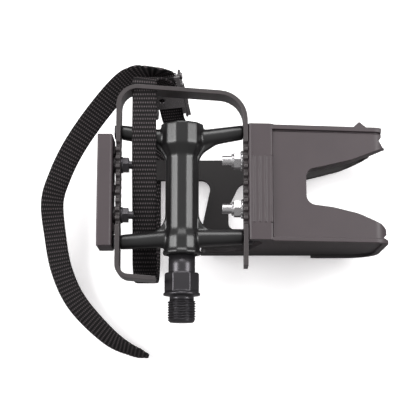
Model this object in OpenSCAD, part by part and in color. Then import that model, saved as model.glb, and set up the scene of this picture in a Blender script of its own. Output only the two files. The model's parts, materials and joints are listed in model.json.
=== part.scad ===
// Single-sided bicycle pedal with a moulded toe clip and a strap with a quick-release cam buckle.
// The spindle lies along Y. The origin is where its axis meets the crank's face, and +Y points
// outwards from the crank. +X points to the toe and -Z to the rider's foot.

/* [Spindle] */
// Outer diameter of the crank thread, 9/16 inch
thread_d = 14.29; // [14.2:0.01:14.4]
// Length of the threaded end outside the shoulder
thread_len = 13.5; // [12:0.5:15]
// Length of the undercut next to the shoulder
undercut_len = 3; // [2:0.5:4]
// Width across the wrench flats
wrench_af = 15; // [14.5:0.1:16]
// Length of the wrench flats
wrench_len = 9; // [7:0.5:10]
// Diameter of the shoulder flange
flange_d = 18.6; // [18:0.1:20]
// Thickness of the shoulder flange
flange_t = 2.4; // [1.5:0.1:3]
// Diameter of the smooth collar outside the body
collar_d = 13.4; // [12:0.1:13.6]
// Diameter of the inner journal, in the bush
journal_d = 10; // [9:0.1:10.5]
// Diameter of the outer end, under the cone
tail_d = 6; // [5.5:0.1:6.5]

/* [Body] */
// Where the body starts, from the crank's face
body_start = 20.3; // [20:0.1:22]
// Length of the body's barrel
body_len = 67.5; // [66:0.5:70]
// Width of the outer boss across its corners
outer_boss_d = 22.4; // [21.5:0.1:24]
// Width of the waist across its corners
waist_d = 16.2; // [15:0.1:18]
// Width of the inner boss across its corners
inner_boss_d = 18.6; // [18:0.1:20]
// Thickness of an arm where it meets the cage
arm_d = 7.4; // [6.5:0.1:7.8]

/* [Cage] */
// Distance between the faces of the front and rear plates that touch the arms
cage_span = 62.4; // [60:0.1:66]
// Thickness of the strip
strip_t = 2.2; // [1.8:0.1:2.6]
// Height of the strip
strip_h = 14; // [13:0.5:15]
// Height of the strip's upper edge over the spindle axis
strip_top = 9; // [8.5:0.1:9.5]
// Pitch of the grip teeth
tooth_pitch = 4.4; // [4:0.1:5]
// Depth of the grip teeth
tooth_depth = 1.8; // [1:0.1:2.2]
// Distance from the cage's outer rail to the crank's face
rail_y = 105; // [104:0.5:107]

/* [Toe clip] */
// Inner edge of the clip
clip_y0 = 28; // [27:0.5:29]
// Outer edge of the clip
clip_y1 = 86; // [85:0.5:88]
// Furthest reach of the nose
nose_x = 104.5; // [103:0.5:108]
// Depth of the top shell under the spindle axis
shell_z = -57; // [-60:0.5:-55]
// Thickness of the moulding
clip_t = 3; // [2.5:0.1:3.4]
// Distance between the two clip bolts
bolt_gap = 25; // [24:0.5:26]
// Clip bolt diameter
bolt_d = 5; // [4:0.5:5]

/* [Strap] */
// Width of the webbing
strap_w = 12.4; // [11:0.1:12.6]
// Thickness of the webbing
strap_t = 1.6; // [1.2:0.1:1.8]

/* [Reflector] */
// Length of the reflector
refl_len = 57; // [50:1:60]
// Height of the reflector
refl_h = 21; // [18:1:24]
// Depth of the reflector
refl_d = 7.6; // [7:0.1:9]
// Distance between the reflector's studs
stud_gap = 26; // [24:0.5:28]

/* [Hidden] */

// Clearances: running, sliding and loose
run_gap = 0.05;
slide_gap = 0.1;
loose_gap = 0.3;

// Places along the spindle
flange_y1 = flange_t;
wrench_y1 = flange_y1 + wrench_len;
body_y1 = body_start + body_len;
seal_t = 1.6;
seal_y1 = body_start + slide_gap + seal_t;
bush_y0 = seal_y1 + 0.1;
bush_len = 13;
bush_y1 = bush_y0 + bush_len;
collar_y1 = body_start - 0.2;
cup_y0 = body_y1 - 14;
cup_len = 5;
ball_y = cup_y0 + cup_len / 2;
cone_len = 4.6;
cone_y0 = ball_y - cone_len / 2;
cone_y1 = cone_y0 + cone_len;
washer_y1 = cone_y1 + 0.8;
nut_y1 = washer_y1 + 3;
spindle_y1 = nut_y1 + 0.6;
cap_t = 1.8;

// Bearing radii
journal_r = journal_d / 2;
tail_r = tail_d / 2;
bush_r = 6.5;
seal_r = 7.6;
cup_r = 8;
ball_r = 1.5;
ball_ring_r = 6;
ball_count = 11;

// Body and cage places
half_span = cage_span / 2;
plate_x = half_span + strip_t / 2;
plate_out = half_span + strip_t;
strip_z0 = strip_top - strip_h;
arm_r = arm_d / 2;
web_x = waist_d / 2 + 0.4;
arm_y_out = body_y1 - 3.8;
arm_y_front = body_start + 9.2;
arm_y_rear = body_start + 6.7;
screw_r = 1.95;
screw_len = 12;

// Clip bolts
bolt_r = bolt_d / 2;
bolt_z = -0.6;
bolt_mid = (arm_y_front + arm_y_out) / 2;
bolt_hole_r = bolt_r + 0.25;
wall_t = clip_t + 0.2;
wall_x1 = plate_out + wall_t;
washer_t = 1.2;
nut_len = 4.8;
bolt_tail = 4.8;

// Cage screw heads: thin ones behind the reflector
front_head = 2.4;
rear_head = 1.2;

// Strap and reflector places
strap_x = -19.3;
slot_w = strap_w + 1.2;
slot_h = strap_t + 2;
slot_z = 5.8;
guide_y = 73;
guide_w = 5.5;
stud_mid = (arm_y_rear + arm_y_out) / 2 - 1.5;
stud_r = 2;
refl_x1 = -plate_out - 1.6;
refl_x0 = refl_x1 - refl_d;
refl_wall = 1.5;
refl_mid = stud_mid - 1.5;
stud_seat = refl_x0 + 4.2;

// Buckle: its middle, its lean and its size
buckle_at = [-8.5, 108.5, -21];
buckle_lean = -29;
buckle_roll = -8.5;
buckle_w = strap_w + 5.2;
plate_z0 = -8;
plate_z1 = 15;
plate_t = 1.1;
cheek_h = 8.4;
pin_r = 1.1;
cam_r = 3;
cam_z = -9;
cam_y = strap_t + 0.5 + cam_r + 0.1;
roller_r = 2;
roller_z = 10.5;
roller_y = strap_t + 0.5 + roller_r + 0.1;
run_y = strap_t / 2 + loose_gap;

// Turn of a vector by an angle
function turned(v, a) = [v.x * cos(a) - v.y * sin(a), v.x * sin(a) + v.y * cos(a)];
function unit(v) = v / norm(v);

// Points [x, y] and normals of a round corner at p, between p0 and p1, with radius r
function corner(p0, p, p1, r, n = 8) =
    let (
        u = unit(p - p0), v = unit(p1 - p),
        side = (u.x * v.y - u.y * v.x) < 0 ? -1 : 1,
        a = acos(min(1, u * v)),
        start = p - u * r * tan(a / 2),
        c = start + side * r * [-u.y, u.x]
    )
    [for (i = [0:n])
        let (b = side * a * i / n, t = turned(u, b))
        [c + turned(start - c, b), [-t.y, t.x]]];

// Middle line of a bent strip through points [x, y, r], where r rounds the corner
function bent(pts) =
    let (
        m = len(pts) - 1,
        p = [for (q = pts) [q.x, q.y]],
        u0 = unit(p[1] - p[0]), u1 = unit(p[m] - p[m - 1])
    )
    concat(
        [[p[0], [-u0.y, u0.x]]],
        [for (i = [1:m - 1]) each corner(p[i - 1], p[i], p[i + 1], pts[i].z)],
        [[p[m], [-u1.y, u1.x]]]
    );

// Flat outline of a strip between two offsets from its middle line
module strip(pts, d0, d1) {
    line = bent(pts);
    polygon(concat(
        [for (q = line) q[0] + q[1] * d0],
        [for (i = [len(line) - 1:-1:0]) line[i][0] + line[i][1] * d1]
    ));
}

// Closed outline through points [x, y, r] with rounded corners
function rounded_points(pts) =
    let (m = len(pts), p = [for (q = pts) [q.x, q.y]])
    [for (i = [0:m - 1])
        each (pts[i].z > 0
            ? [for (c = corner(p[(i + m - 1) % m], p[i], p[(i + 1) % m], pts[i].z)) c[0]]
            : [p[i]])];

module rounded(pts) polygon(rounded_points(pts));

// Extrusion of an X-Z outline from y0 to y1
module along_y(y0, y1) translate([0, y1, 0]) rotate([90, 0, 0]) linear_extrude(y1 - y0) children();

// Extrusion of a Y-Z outline from x0 to x1
module along_x(x0, x1) translate([x0, 0, 0]) rotate([90, 0, 90]) linear_extrude(x1 - x0) children();

// Extrusion of an X-Y outline from z0 to z1
module along_z(z0, z1) translate([0, 0, z0]) linear_extrude(z1 - z0) children();

// Round rod on the spindle axis
module rod_y(y0, y1, r, r2 = 0)
    translate([0, y0, 0]) rotate([-90, 0, 0])
        cylinder(h = y1 - y0, r1 = r, r2 = r2 > 0 ? r2 : r, $fn = 64);

// Round rod along X through [y, z]
module rod_x(x0, x1, y, z, r, sides = 48)
    translate([x0, y, z]) rotate([0, 90, 0]) cylinder(h = x1 - x0, r = r, $fn = sides);

// Twelve-sided section of the barrel between two places and widths, with a flat towards +Z
module barrel(y0, y1, d0, d1)
    translate([0, y0, 0]) rotate([-90, 0, 0]) rotate([0, 0, 15])
        cylinder(h = y1 - y0, d1 = d0, d2 = d1, $fn = 12);

// Hexagonal prism along X
module hex_x(x0, x1, y, z, af)
    translate([x0, y, z]) rotate([0, 90, 0]) cylinder(h = x1 - x0, d = af / cos(30), $fn = 6);

// Spindle: crank thread, undercut, flange, wrench flats, collar, journal and threaded tail
module spindle() color("dimgray") {
    thread_r = thread_d / 2;
    rod_y(-thread_len, -thread_len + 1.2, thread_r - 1.1, thread_r);
    rod_y(-thread_len + 1.2, -undercut_len, thread_r);
    rod_y(-undercut_len, 0, thread_r - 1);
    rod_y(0, 0.8, flange_d / 2);
    rod_y(0.8, flange_y1, flange_d / 2, wrench_af / 2);
    translate([0, flange_y1, 0]) rotate([-90, 0, 0])
        cylinder(h = wrench_len, d = wrench_af / cos(30), $fn = 6);
    rod_y(wrench_y1, collar_y1, collar_d / 2);
    rod_y(collar_y1, cone_y0 - 1, journal_r);
    rod_y(cone_y0 - 1, spindle_y1, tail_r);
}

// Ring on the spindle axis
module ring_y(y0, y1, ro, ri) difference() {
    rod_y(y0, y1, ro);
    rod_y(y0 - 1, y1 + 1, ri);
}

// Rubber seal at the body's inner end
module spindle_seal() color("black")
    ring_y(body_start + slide_gap, seal_y1, seal_r, journal_r + run_gap);

// Plain bush for the journal
module inner_bush() color("darkgoldenrod")
    ring_y(bush_y0, bush_y1, bush_r, journal_r + run_gap);

// Round groove for the balls
module ball_groove() translate([0, ball_y, 0]) rotate([-90, 0, 0])
    rotate_extrude($fn = 64) translate([ball_ring_r, 0]) circle(r = ball_r + run_gap, $fn = 32);

// Outer race, pressed into the body
module bearing_cup() color("silver") difference() {
    ring_y(cup_y0, cup_y0 + cup_len, cup_r, ball_ring_r + ball_r - 0.6);
    ball_groove();
}

// Ring of balls
module bearing_balls() color("silver")
    for (i = [0:ball_count - 1])
        rotate([0, i * 360 / ball_count, 0]) translate([ball_ring_r, ball_y, 0])
            sphere(r = ball_r, $fn = 32);

// Cone, screwed on the spindle's tail
module bearing_cone() color("silver") difference() {
    ring_y(cone_y0, cone_y1, ball_ring_r - ball_r + 0.6, tail_r);
    ball_groove();
}

// Washer between cone and nut
module lock_washer() color("silver") ring_y(cone_y1, washer_y1, 4.6, tail_r);

// Nut that locks the cone
module lock_nut() color("silver") difference() {
    translate([0, washer_y1, 0]) rotate([-90, 0, 0])
        cylinder(h = nut_y1 - washer_y1, d = 10 / cos(30), $fn = 6);
    rod_y(washer_y1 - 1, nut_y1 + 1, tail_r);
}

// Plug in the body's outer end
module dust_cap() color("black") {
    rod_y(body_y1 - cap_t, body_y1, cup_r);
    rod_y(body_y1, body_y1 + 0.6, cup_r + 0.8, cup_r);
}

// One tapered arm, from its root on the barrel to the cage
module arm(side, root_y, tip_y) {
    reach = half_span - 4;
    difference() {
        translate([side * 4, root_y, 0]) rotate([0, 0, atan2(tip_y - root_y, side * reach)])
            rotate([0, 90, 0])
                cylinder(h = norm([reach, tip_y - root_y]) + 2, r1 = arm_r + 1, r2 = arm_r, $fn = 48);
        translate([side > 0 ? half_span : -half_span - 10, tip_y - 10, -10]) cube([10, 20, 20]);
    }
}

// Flat web on one side that fills the corners between barrel and arms
module web(side, arm_y) along_z(-2.2, 2.2) rounded([
    [0, body_start + 4, 0], [side * 22, arm_y - 3, 0], [side * 22, arm_y + 1.6, 0],
    [side * web_x, body_start + 15, 9], [side * web_x, body_y1 - 16, 9],
    [side * 22, arm_y_out - 3.4, 0], [side * 22, arm_y_out + 1.4, 0], [0, body_y1 - 5, 0]
]);

// Die-cast body: faceted barrel, webs and four arms, bored for the bearings
module pedal_body() color([0.09, 0.09, 0.1]) difference() {
    union() {
        barrel(body_start, body_start + 2, inner_boss_d + 1.4, inner_boss_d + 1.4);
        barrel(body_start + 2, body_start + 9, inner_boss_d, inner_boss_d);
        barrel(body_start + 9, body_start + 13, inner_boss_d, waist_d);
        barrel(body_start + 13, body_y1 - 17, waist_d, waist_d);
        barrel(body_y1 - 17, body_y1 - 11, waist_d, outer_boss_d);
        barrel(body_y1 - 11, body_y1, outer_boss_d, outer_boss_d);
        web(1, arm_y_front);
        web(-1, arm_y_rear);
        arm(1, body_y1 - 8, arm_y_out);
        arm(-1, body_y1 - 8, arm_y_out);
        arm(1, body_start + 8.6, arm_y_front);
        arm(-1, body_start + 8.6, arm_y_rear);
    }
    rod_y(body_start - 1, seal_y1, seal_r);
    rod_y(body_start, bush_y1, bush_r);
    rod_y(body_start, body_y1 - 1, journal_r + 0.5);
    rod_y(cup_y0, body_y1 + 1, cup_r);
    for (s = [-1, 1]) {
        rod_x(s > 0 ? half_span - screw_len : -half_span - 1,
            s > 0 ? half_span + 1 : screw_len - half_span, arm_y_out, 0, screw_r);
    }
    rod_x(half_span - screw_len, half_span + 1, arm_y_front, 0, screw_r);
    rod_x(-half_span - 1, screw_len - half_span, arm_y_rear, 0, screw_r);
}

// Row of grip notches in both edges of a plate
module grip_notches(x0, y0, y1) {
    count = floor((y1 - y0) / tooth_pitch);
    for (i = [0:count - 1]) {
        y = y0 + (i + 0.5) * tooth_pitch;
        for (s = [0, 1]) {
            base = s > 0 ? strip_top + 1 : strip_z0 - 1;
            deep = s > 0 ? strip_top - tooth_depth : strip_z0 + tooth_depth;
            along_x(x0 - 1, x0 + strip_t + 1) polygon([
                [y - tooth_pitch * 0.45, base], [y + tooth_pitch * 0.45, base],
                [y + tooth_pitch * 0.14, deep], [y - tooth_pitch * 0.14, deep]
            ]);
        }
    }
}

// Cage: one flat strip bent round the body, with toothed plates in front and behind
module cage() color([0.2, 0.2, 0.21]) difference() {
    along_z(strip_z0, strip_top) strip([
        [plate_x, 14, 0], [plate_x, rail_y - 3, 14], [-plate_x, rail_y + 1.9, 9.5],
        [-plate_x, 9.4, 6], [-13, 7.8, 0]
    ], -strip_t / 2, strip_t / 2);
    grip_notches(half_span, 34, 79);
    grip_notches(-plate_out, 34, 79);
    translate([strap_x - slot_w / 2, rail_y - 8, slot_z - slot_h / 2]) cube([slot_w, 16, slot_h]);
    rod_x(half_span - 1, plate_out + 1, arm_y_out, 0, screw_r + 0.1);
    rod_x(-plate_out - 1, 1 - half_span, arm_y_out, 0, screw_r + 0.1);
    rod_x(half_span - 1, plate_out + 1, arm_y_front, 0, screw_r + 0.1);
    rod_x(-plate_out - 1, 1 - half_span, arm_y_rear, 0, screw_r + 0.1);
    for (s = [-1, 1]) {
        rod_x(half_span - 1, plate_out + 1, bolt_mid + s * bolt_gap / 2, bolt_z, bolt_hole_r);
        rod_x(-plate_out - 1, 1 - half_span, stud_mid + s * stud_gap / 2, bolt_z, stud_r + 0.25);
    }
}

// One cap screw that holds the cage to an arm
module cage_screw(side, y) {
    x = side * plate_out;
    head = side > 0 ? front_head : rear_head;
    tip = side * (half_span - screw_len + 1);
    difference() {
        union() {
            rod_x(min(x, x + side * head), max(x, x + side * head), y, 0, 3.6);
            rod_x(min(x, tip), max(x, tip), y, 0, screw_r);
        }
        hex_x(x + side * head - 0.8, x + side * head + 0.8, y, 0, 3);
    }
}

// Four screws, two in each plate
module cage_screws() color("black") {
    cage_screw(-1, arm_y_out);
    cage_screw(-1, arm_y_rear);
    cage_screw(1, arm_y_out);
    cage_screw(1, arm_y_front);
}

// Side view of the clip: wall on the cage, panel, round nose and top shell
clip_line = [
    [plate_out + wall_t / 2, -9, 0], [plate_out + wall_t / 2, 6.6, 3],
    [nose_x - clip_t / 2, -2, 6], [nose_x - clip_t / 2, shell_z, 15], [-27.6, shell_z, 0]
];

// The same line from the panel on, for the raised rims
rim_line = [
    [plate_out + 12, 5.3, 0], [nose_x - clip_t / 2, -2, 6], [nose_x - clip_t / 2, shell_z, 15],
    [70, shell_z, 0]
];

// Outline of an inner rib of depth d that follows the panel, the nose and part of the shell
function rib_outline(d) = [
    [plate_out + 12, 5.3, 0], [nose_x - clip_t / 2, -2, 6], [nose_x - clip_t / 2, shell_z, 15],
    [60, shell_z, 0], [60, shell_z + d, 0], [nose_x - clip_t / 2 - d, shell_z + d, 8],
    [nose_x - clip_t / 2 - d, -1 - d, 1], [plate_out + 12, 5.3 - d, 0]
];

// Opening between the two prongs of the nose, seen from below, or a margin round it.
// The second value widens it on the outer side.
function prong_gap(d, wide = 0) = [
    [nose_x + 12, clip_y1 - 4.3 + d + wide, 0], [nose_x - 5.2, clip_y1 - 11.6 + d + wide, 15],
    [86.6, clip_y1 - 16.6 + d + wide, 15], [71, clip_y1 - 20.6 + d + wide, 10],
    [63 - d, clip_y1 - 22.4 + d + wide, 4.5 + d], [63 - d, clip_y0 + 18.2 - d, 5 + d],
    [77, clip_y0 + 16.6 - d, 25], [90, clip_y0 + 13.6 - d, 25], [nose_x - 3, clip_y0 + 8.6 - d, 8],
    [nose_x + 4, clip_y0 + 2.6 - d, 0], [nose_x + 12, clip_y0 + 2.6 - d, 0]
];

// Small cuts that give the tips their blunt points
outer_tip = [
    [nose_x + 5, clip_y1 - 9.4], [nose_x - 1.3, clip_y1 - 9.2], [nose_x - 3.7, clip_y1 - 5.8],
    [nose_x - 2.2, clip_y1 - 4.2], [nose_x - 2.1, clip_y1 + 3], [nose_x + 5, clip_y1 + 3]
];
inner_tip = [
    [nose_x + 5, clip_y0 + 4], [nose_x - 0.5, clip_y0 + 3.4], [nose_x - 2, clip_y0 + 1.5],
    [nose_x + 5, clip_y0 + 1.5]
];

// Outline of the inner side wall: along the moulding round the nose, open to the rear
side_wall = concat(
    [for (i = [10:27]) bent(clip_line)[i][0]],
    rounded_points([
        [60, shell_z, 0], [9, shell_z, 0], [9, shell_z + 9, 4], [34, -41, 14], [41, -10, 10],
        [plate_out + 6, -3, 0], [plate_out + 6, 6, 0]
    ])
);

// Moulded toe clip: panel with a two-pronged nose, inner side wall, top shell with a tongue
module toe_clip() color([0.27, 0.25, 0.26]) difference() {
    union() {
        along_y(clip_y0, clip_y1) strip(clip_line, -clip_t / 2, clip_t / 2);
        along_y(clip_y0, clip_y0 + 2.4) polygon(side_wall);
        along_y(clip_y1 - 2.2, clip_y1) rounded(rib_outline(clip_t / 2 + 5));
        intersection() {
            along_y(clip_y0 + 1, clip_y1 - 1) rounded(rib_outline(clip_t / 2 + 6.5));
            along_z(-80, 20) rounded(prong_gap(2));
        }
        along_y(clip_y1 - 1.9, clip_y1 + 0.5) strip(rim_line, -0.7, clip_t / 2 + 0.9);
        along_y(clip_y0 - 1.3, clip_y0 + 0.8) strip(rim_line, -0.7, clip_t / 2 + 0.9);
        along_y(clip_y0 - 0.8, clip_y1 + 0.8) rounded([
            [plate_out, 4.2, 0], [plate_out, 9.2, 2], [plate_out + 12.8, 8.2, 1.6],
            [plate_out + 12.8, 3.4, 0]
        ]);
        for (i = [0:3]) translate([plate_out + 3 + i * 2.9, 36, 8.6 - i * 0.24])
            rotate([-90, 0, 0]) cylinder(h = 34, r = 0.8, $fn = 16);
        translate([0, 0, -1.6]) linear_extrude(2.2)
            polygon([[85.8, clip_y1 - 1], [96.5, clip_y1 - 1], [90.9, clip_y1 + 3.6]]);
        along_y(guide_y, guide_y + guide_w) difference() {
            translate([strap_x - slot_w / 2 - 1.4, shell_z - clip_t / 2 - slot_h - 0.6])
                square([slot_w + 2.8, slot_h + 1]);
            translate([strap_x - slot_w / 2, shell_z - clip_t / 2 - slot_h + 1])
                square([slot_w, slot_h]);
        }
    }
    along_z(-80, 20) rounded(prong_gap(0));
    along_z(-80, -9.5) rounded(prong_gap(0, 6));
    along_z(-80, 20) polygon(outer_tip);
    along_z(-80, 20) polygon(inner_tip);
    along_y(clip_y1 - 2.8, clip_y1 - 2) strip(rim_line, clip_t / 2 - 0.6, clip_t / 2 + 2);
    along_z(-80, -35) rounded([
        [-40, 70, 0], [15.5, 70, 5], [10, 44, 0], [9, clip_y0 - 2, 0], [-40, clip_y0 - 2, 0]
    ]);
    along_z(-80, -35) rounded([[-40, 81.5, 0], [36, 81.5, 10], [48, clip_y1 + 2, 0], [-40, clip_y1 + 2, 0]]);
    along_z(-80, -35) rounded([[31, 68, 5], [24.6, 55, 12], [24.6, 42.6, 3], [55, 42.6, 6], [55, 68, 6]]);
    for (s = [-1, 1])
        rod_x(plate_out - 1, wall_x1 + 1, bolt_mid + s * bolt_gap / 2, bolt_z, bolt_hole_r);
    for (y = [arm_y_out, arm_y_front]) rod_x(plate_out - 1, wall_x1 + 1, y, 0, 4.1);
}

// Two bolts through the clip and the front plate, heads inside the clip
module clip_bolts() color("silver")
    for (s = [-1, 1]) {
        y = bolt_mid + s * bolt_gap / 2;
        difference() {
            union() {
                rod_x(wall_x1, wall_x1 + 2.8, y, bolt_z, bolt_r + 1.5);
                rod_x(half_span - washer_t - nut_len - bolt_tail, wall_x1, y, bolt_z, bolt_r);
            }
            hex_x(wall_x1 + 1.2, wall_x1 + 4, y, bolt_z, 3);
        }
    }

// Toothed washer under each nut
module clip_washers() color("silver")
    for (s = [-1, 1]) {
        y = bolt_mid + s * bolt_gap / 2;
        difference() {
            rod_x(half_span - washer_t, half_span, y, bolt_z, bolt_r + 2.6);
            rod_x(half_span - washer_t - 1, half_span + 1, y, bolt_z, bolt_r);
            for (a = [0:30:330])
                translate([half_span - washer_t / 2, y, bolt_z]) rotate([a, 0, 0])
                    translate([0, bolt_r + 2.6, 0]) cube([washer_t + 1, 1.2, 0.7], center = true);
        }
    }

// Locking nuts: hexagon with a round collar
module clip_nuts() color("white")
    for (s = [-1, 1]) {
        y = bolt_mid + s * bolt_gap / 2;
        x1 = half_span - washer_t;
        difference() {
            union() {
                hex_x(x1 - nut_len + 1.2, x1, y, bolt_z, 8);
                rod_x(x1 - nut_len, x1 - nut_len + 1.2, y, bolt_z, 3.5);
            }
            rod_x(x1 - nut_len - 1, x1 + 1, y, bolt_z, bolt_r);
        }
    }

// Box of the rear reflector, open to the rear, with a boss for each stud
module reflector_housing() color([0.27, 0.25, 0.26]) difference() {
    union() {
        along_y(refl_mid - refl_len / 2, refl_mid + refl_len / 2) rounded([
            [refl_x0, -refl_h / 2, 0.8], [refl_x1 - 0.01, -refl_h / 2, 1.6],
            [refl_x1 - 0.01, refl_h / 2, 1.6], [refl_x0, refl_h / 2, 0.8]
        ]);
        for (s = [-1, 1]) {
            y = stud_mid + s * stud_gap / 2;
            rod_x(refl_x1 - 1, -plate_out, y, bolt_z, stud_r + 2.4);
        }
        for (y = [stud_mid - 20, stud_mid, stud_mid + 20])
            translate([refl_x1 - 0.5, y - 2.2, -5]) cube([1.7, 4.4, 9]);
    }
    translate([refl_x0 - 1, refl_mid - refl_len / 2 + refl_wall, refl_wall - refl_h / 2])
        cube([3.4, refl_len - 2 * refl_wall, refl_h - 2 * refl_wall]);
    for (s = [-1, 1]) {
        y = stud_mid + s * stud_gap / 2;
        rod_x(refl_x0 + 3.6, -plate_out + 1, y, bolt_z, stud_r);
        rod_x(refl_x0 + 2, stud_seat, y, bolt_z, stud_r + 1.5);
    }
}

// Lens, set in the rear of the box
module reflector_lens() color([0.95, 0.45, 0.05])
    translate([refl_x0 + 0.5, refl_mid - refl_len / 2 + refl_wall + slide_gap, refl_wall + slide_gap - refl_h / 2])
        cube([1.8, refl_len - 2 * refl_wall - 2 * slide_gap, refl_h - 2 * refl_wall - 2 * slide_gap]);

// Studs that hold the reflector to the rear plate
module reflector_studs() color("black")
    for (s = [-1, 1]) {
        y = stud_mid + s * stud_gap / 2;
        rod_x(refl_x0 + 2.5, stud_seat, y, bolt_z, stud_r + 1.45);
        rod_x(stud_seat, 6.6 - half_span, y, bolt_z, stud_r);
    }

// Nuts on the reflector's studs, each with a flange
module reflector_nuts() color("black")
    for (s = [-1, 1]) {
        y = stud_mid + s * stud_gap / 2;
        difference() {
            union() {
                rod_x(-half_span, -half_span + 1, y, bolt_z, 4.2);
                hex_x(-half_span + 1, -half_span + 4, y, bolt_z, 7);
            }
            rod_x(-half_span - 1, -half_span + 5, y, bolt_z, stud_r);
        }
    }

// Place of the buckle in the frame of the pedal
module at_buckle() translate(buckle_at) rotate([buckle_lean, 0, 0]) rotate([0, buckle_roll, 0])
    children();

// Buckle frame: back plate with two cheeks and a bar for the sewn end
module buckle_frame() color("dimgray") at_buckle() difference() {
    union() {
        translate([-buckle_w / 2, -plate_t, plate_z0]) cube([buckle_w, plate_t, plate_z1 - plate_z0]);
        for (s = [-1, 1]) {
            translate([s * (buckle_w / 2 - plate_t / 2), 0, 0])
                along_x(-plate_t / 2, plate_t / 2) rounded([
                    [-plate_t, -16, 1.5], [cheek_h - 2, -18, 3], [cheek_h + 0.6, cam_z, 2],
                    [cheek_h - 1.4, 3, 3], [cheek_h - 1, 13.4, 2.4], [-plate_t, 14.9, 0]
                ]);
            translate([s > 0 ? buckle_w / 2 - 0.3 : 0.3 - buckle_w / 2 - 2, 0.1 - plate_t, -14.5])
                cube([2, plate_t - 0.2, 24]);
        }
    }
    rod_x(-buckle_w, buckle_w, cam_y, cam_z, pin_r + run_gap);
    rod_x(-buckle_w, buckle_w, roller_y, roller_z, pin_r + run_gap);
    translate([-3.1, 0, -1.4]) rotate([90, 0, 0]) cylinder(h = 6, r = 1.5, center = true, $fn = 40);
    translate([-strap_w / 2 - 0.4, -plate_t - 1, 9.4]) cube([strap_w + 0.8, plate_t + 2, 2.6]);
}

// Pin of the cam lever
module buckle_pin() color("silver") at_buckle() {
    rod_x(-buckle_w / 2 - 0.8, buckle_w / 2 + 0.8, cam_y, cam_z, pin_r);
    for (s = [-1, 1]) rod_x(s > 0 ? buckle_w / 2 + run_gap : -buckle_w / 2 - 0.9,
        s > 0 ? buckle_w / 2 + 0.9 : -buckle_w / 2 - run_gap, cam_y, cam_z, pin_r + 0.7);
}

// Cam lever: toothed cam between the cheeks with a thumb plate
module buckle_lever() color("dimgray") at_buckle() difference() {
    union() {
        along_x(-strap_w / 2, -strap_w / 2 + 3.2) cam_side();
        along_x(strap_w / 2 - 3.2, strap_w / 2) cam_side();
        along_x(0.4 - strap_w / 2, strap_w / 2 - 0.4) polygon([
            [cam_y + 4.2, cam_z - 5.6], [cam_y + 6.4, cam_z - 17],
            [cam_y + 8, cam_z - 17], [cam_y + 6, cam_z - 5.6]
        ]);
    }
    rod_x(-buckle_w, buckle_w, cam_y, cam_z, pin_r + run_gap);
}

// Side of the cam, with teeth towards the webbing
module cam_side() difference() {
    union() {
        translate([cam_y, cam_z]) circle(r = cam_r, $fn = 40);
        polygon([
            [cam_y, cam_z + 1], [cam_y - 0.6, cam_z - 2.2], [cam_y + 4.7, cam_z - 7.3],
            [cam_y + 6.4, cam_z - 6.1], [cam_y + 2.2, cam_z + 1]
        ]);
    }
    for (a = [150:24:222]) translate([cam_y, cam_z]) rotate(a)
        translate([cam_r, 0]) rotate(45) square(0.6, center = true);
}

// Closing spring: a coil round the pin, between the sides of the cam
module buckle_spring() color("silver") at_buckle() translate([0, cam_y, cam_z]) rotate([0, 90, 0]) {
    wire_r = 0.35;
    coil_r = pin_r + wire_r + 0.3;
    turns = 6;
    steps = 16;
    n = turns * steps;
    pitch = 0.78;
    ring = [for (i = [0:n]) let (a = i * 360 / steps, z = (i / steps - turns / 2) * pitch)
        for (k = [0:5]) let (b = k * 60, q = coil_r + wire_r * cos(b))
            [q * cos(a), q * sin(a), z + wire_r * sin(b)]];
    polyhedron(points = ring, faces = concat(
        [[for (k = [0:5]) k]],
        [for (i = [0:n - 1]) for (k = [0:5])
            [i * 6 + k, (i + 1) * 6 + k, (i + 1) * 6 + (k + 1) % 6, i * 6 + (k + 1) % 6]],
        [[for (k = [5:-1:0]) n * 6 + k]]
    ));
}

// Guide roller at the buckle's upper end
module buckle_roller() color("gray") at_buckle() difference() {
    rod_x(-strap_w / 2 - 0.3, strap_w / 2 + 0.3, roller_y, roller_z, roller_r);
    rod_x(-strap_w, strap_w, roller_y, roller_z, pin_r + run_gap);
}

// Pin of the guide roller
module roller_pin() color("silver") at_buckle() {
    rod_x(-buckle_w / 2 - 0.8, buckle_w / 2 + 0.8, roller_y, roller_z, pin_r);
    for (s = [-1, 1]) rod_x(s > 0 ? buckle_w / 2 + run_gap : -buckle_w / 2 - 0.9,
        s > 0 ? buckle_w / 2 + 0.9 : -buckle_w / 2 - run_gap, roller_y, roller_z, pin_r + 0.7);
}

// A point given in the frame of the buckle, in the frame of the pedal
function in_buckle(p) =
    let (
        x = p.x * cos(buckle_roll) + p.z * sin(buckle_roll),
        z = p.z * cos(buckle_roll) - p.x * sin(buckle_roll)
    )
    buckle_at + [x, p.y * cos(buckle_lean) - z * sin(buckle_lean),
        p.y * sin(buckle_lean) + z * cos(buckle_lean)];
across = in_buckle([1, 0, 0]) - buckle_at;

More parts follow.
